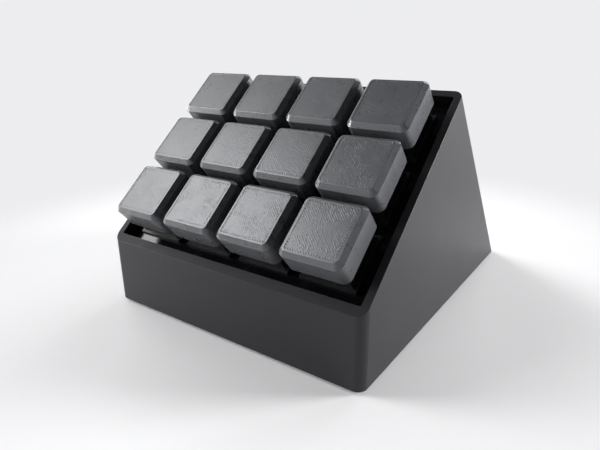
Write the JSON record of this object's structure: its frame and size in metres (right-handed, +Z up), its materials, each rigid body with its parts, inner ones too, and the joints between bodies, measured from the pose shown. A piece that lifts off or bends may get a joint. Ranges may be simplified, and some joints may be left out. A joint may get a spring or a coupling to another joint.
{
  "type": "macro keypad",
  "caption": "Sloping macro keypad: a printed wedge case with a grid of bevelled square keys that press down on sprung switches.",
  "frame": {"origin": "on the desk, under the middle of the keypad's outline", "axes": "+X to the user's right, +Y to the back, +Z up"},
  "size_m": [0.084, 0.1038, 0.0653],
  "materials": {
    "case_plastic": "satin black printed plastic",
    "plate_plastic": "glossy black printed first layer",
    "base_plastic": "satin black printed plastic",
    "keycap_plastic": "satin grey printed plastic",
    "switch_plastic": "black moulded plastic",
    "stem_plastic": "brown moulded plastic",
    "spring_steel": "bright wire",
    "contact_brass": "stamped sheet",
    "board_laminate": "green solder resist",
    "chip_plastic": "black moulded plastic",
    "connector_plastic": "cream moulded plastic",
    "ribbon_plastic": "grey ribbon insulation",
    "socket_steel": "drawn steel sheet",
    "screw_steel": "dark steel",
    "insert_brass": "turned brass",
    "foot_rubber": "matt black rubber"
  },
  "bodies": {
    "case": {"case_shell": "case_plastic", "switch_plate": "plate_plastic", "base_cover": "base_plastic", "base_screws": "screw_steel", "screw_inserts": "insert_brass", "rubber_feet": "foot_rubber", "switch_lower_housings": "switch_plastic", "switch_upper_housings": "switch_plastic", "switch_contact_leaves": "contact_brass", "switch_fixed_contacts": "contact_brass", "matrix_board": "board_laminate", "matrix_diodes": "chip_plastic", "matrix_connector": "connector_plastic", "controller_connector": "connector_plastic", "ribbon_cable": "ribbon_plastic", "controller_board": "board_laminate", "controller_chip": "chip_plastic", "data_socket_shell": "socket_steel", "data_socket_tongue": "chip_plastic", "switch_spring_r1c1": "spring_steel", "switch_spring_r1c2": "spring_steel", "switch_spring_r1c3": "spring_steel", "switch_spring_r1c4": "spring_steel", "switch_spring_r2c1": "spring_steel", "switch_spring_r2c2": "spring_steel", "switch_spring_r2c3": "spring_steel", "switch_spring_r2c4": "spring_steel", "switch_spring_r3c1": "spring_steel", "switch_spring_r3c2": "spring_steel", "switch_spring_r3c3": "spring_steel", "switch_spring_r3c4": "spring_steel"},
    "key_r1c1": {"keycap_r1c1": "keycap_plastic", "switch_stem_r1c1": "stem_plastic"},
    "key_r1c2": {"keycap_r1c2": "keycap_plastic", "switch_stem_r1c2": "stem_plastic"},
    "key_r1c3": {"keycap_r1c3": "keycap_plastic", "switch_stem_r1c3": "stem_plastic"},
    "key_r1c4": {"keycap_r1c4": "keycap_plastic", "switch_stem_r1c4": "stem_plastic"},
    "key_r2c1": {"keycap_r2c1": "keycap_plastic", "switch_stem_r2c1": "stem_plastic"},
    "key_r2c2": {"keycap_r2c2": "keycap_plastic", "switch_stem_r2c2": "stem_plastic"},
    "key_r2c3": {"keycap_r2c3": "keycap_plastic", "switch_stem_r2c3": "stem_plastic"},
    "key_r2c4": {"keycap_r2c4": "keycap_plastic", "switch_stem_r2c4": "stem_plastic"},
    "key_r3c1": {"keycap_r3c1": "keycap_plastic", "switch_stem_r3c1": "stem_plastic"},
    "key_r3c2": {"keycap_r3c2": "keycap_plastic", "switch_stem_r3c2": "stem_plastic"},
    "key_r3c3": {"keycap_r3c3": "keycap_plastic", "switch_stem_r3c3": "stem_plastic"},
    "key_r3c4": {"keycap_r3c4": "keycap_plastic", "switch_stem_r3c4": "stem_plastic"}
  },
  "joints": [
    {"name": "key_r1c1_press", "type": "slide", "parent": "case", "child": "key_r1c1", "axis": [0, 0.6428, -0.766], "range_m": [0, 0.004], "stiffness_N_per_m": 75, "springref_m": -0.004, "deforming": ["switch_spring_r1c1"]},
    {"name": "key_r1c2_press", "type": "slide", "parent": "case", "child": "key_r1c2", "axis": [0, 0.6428, -0.766], "range_m": [0, 0.004], "stiffness_N_per_m": 75, "springref_m": -0.004, "deforming": ["switch_spring_r1c2"]},
    {"name": "key_r1c3_press", "type": "slide", "parent": "case", "child": "key_r1c3", "axis": [0, 0.6428, -0.766], "range_m": [0, 0.004], "stiffness_N_per_m": 75, "springref_m": -0.004, "deforming": ["switch_spring_r1c3"]},
    {"name": "key_r1c4_press", "type": "slide", "parent": "case", "child": "key_r1c4", "axis": [0, 0.6428, -0.766], "range_m": [0, 0.004], "stiffness_N_per_m": 75, "springref_m": -0.004, "deforming": ["switch_spring_r1c4"]},
    {"name": "key_r2c1_press", "type": "slide", "parent": "case", "child": "key_r2c1", "axis": [0, 0.6428, -0.766], "range_m": [0, 0.004], "stiffness_N_per_m": 75, "springref_m": -0.004, "deforming": ["switch_spring_r2c1"]},
    {"name": "key_r2c2_press", "type": "slide", "parent": "case", "child": "key_r2c2", "axis": [0, 0.6428, -0.766], "range_m": [0, 0.004], "stiffness_N_per_m": 75, "springref_m": -0.004, "deforming": ["switch_spring_r2c2"]},
    {"name": "key_r2c3_press", "type": "slide", "parent": "case", "child": "key_r2c3", "axis": [0, 0.6428, -0.766], "range_m": [0, 0.004], "stiffness_N_per_m": 75, "springref_m": -0.004, "deforming": ["switch_spring_r2c3"]},
    {"name": "key_r2c4_press", "type": "slide", "parent": "case", "child": "key_r2c4", "axis": [0, 0.6428, -0.766], "range_m": [0, 0.004], "stiffness_N_per_m": 75, "springref_m": -0.004, "deforming": ["switch_spring_r2c4"]},
    {"name": "key_r3c1_press", "type": "slide", "parent": "case", "child": "key_r3c1", "axis": [0, 0.6428, -0.766], "range_m": [0, 0.004], "stiffness_N_per_m": 75, "springref_m": -0.004, "deforming": ["switch_spring_r3c1"]},
    {"name": "key_r3c2_press", "type": "slide", "parent": "case", "child": "key_r3c2", "axis": [0, 0.6428, -0.766], "range_m": [0, 0.004], "stiffness_N_per_m": 75, "springref_m": -0.004, "deforming": ["switch_spring_r3c2"]},
    {"name": "key_r3c3_press", "type": "slide", "parent": "case", "child": "key_r3c3", "axis": [0, 0.6428, -0.766], "range_m": [0, 0.004], "stiffness_N_per_m": 75, "springref_m": -0.004, "deforming": ["switch_spring_r3c3"]},
    {"name": "key_r3c4_press", "type": "slide", "parent": "case", "child": "key_r3c4", "axis": [0, 0.6428, -0.766], "range_m": [0, 0.004], "stiffness_N_per_m": 75, "springref_m": -0.004, "deforming": ["switch_spring_r3c4"]}
  ]
}
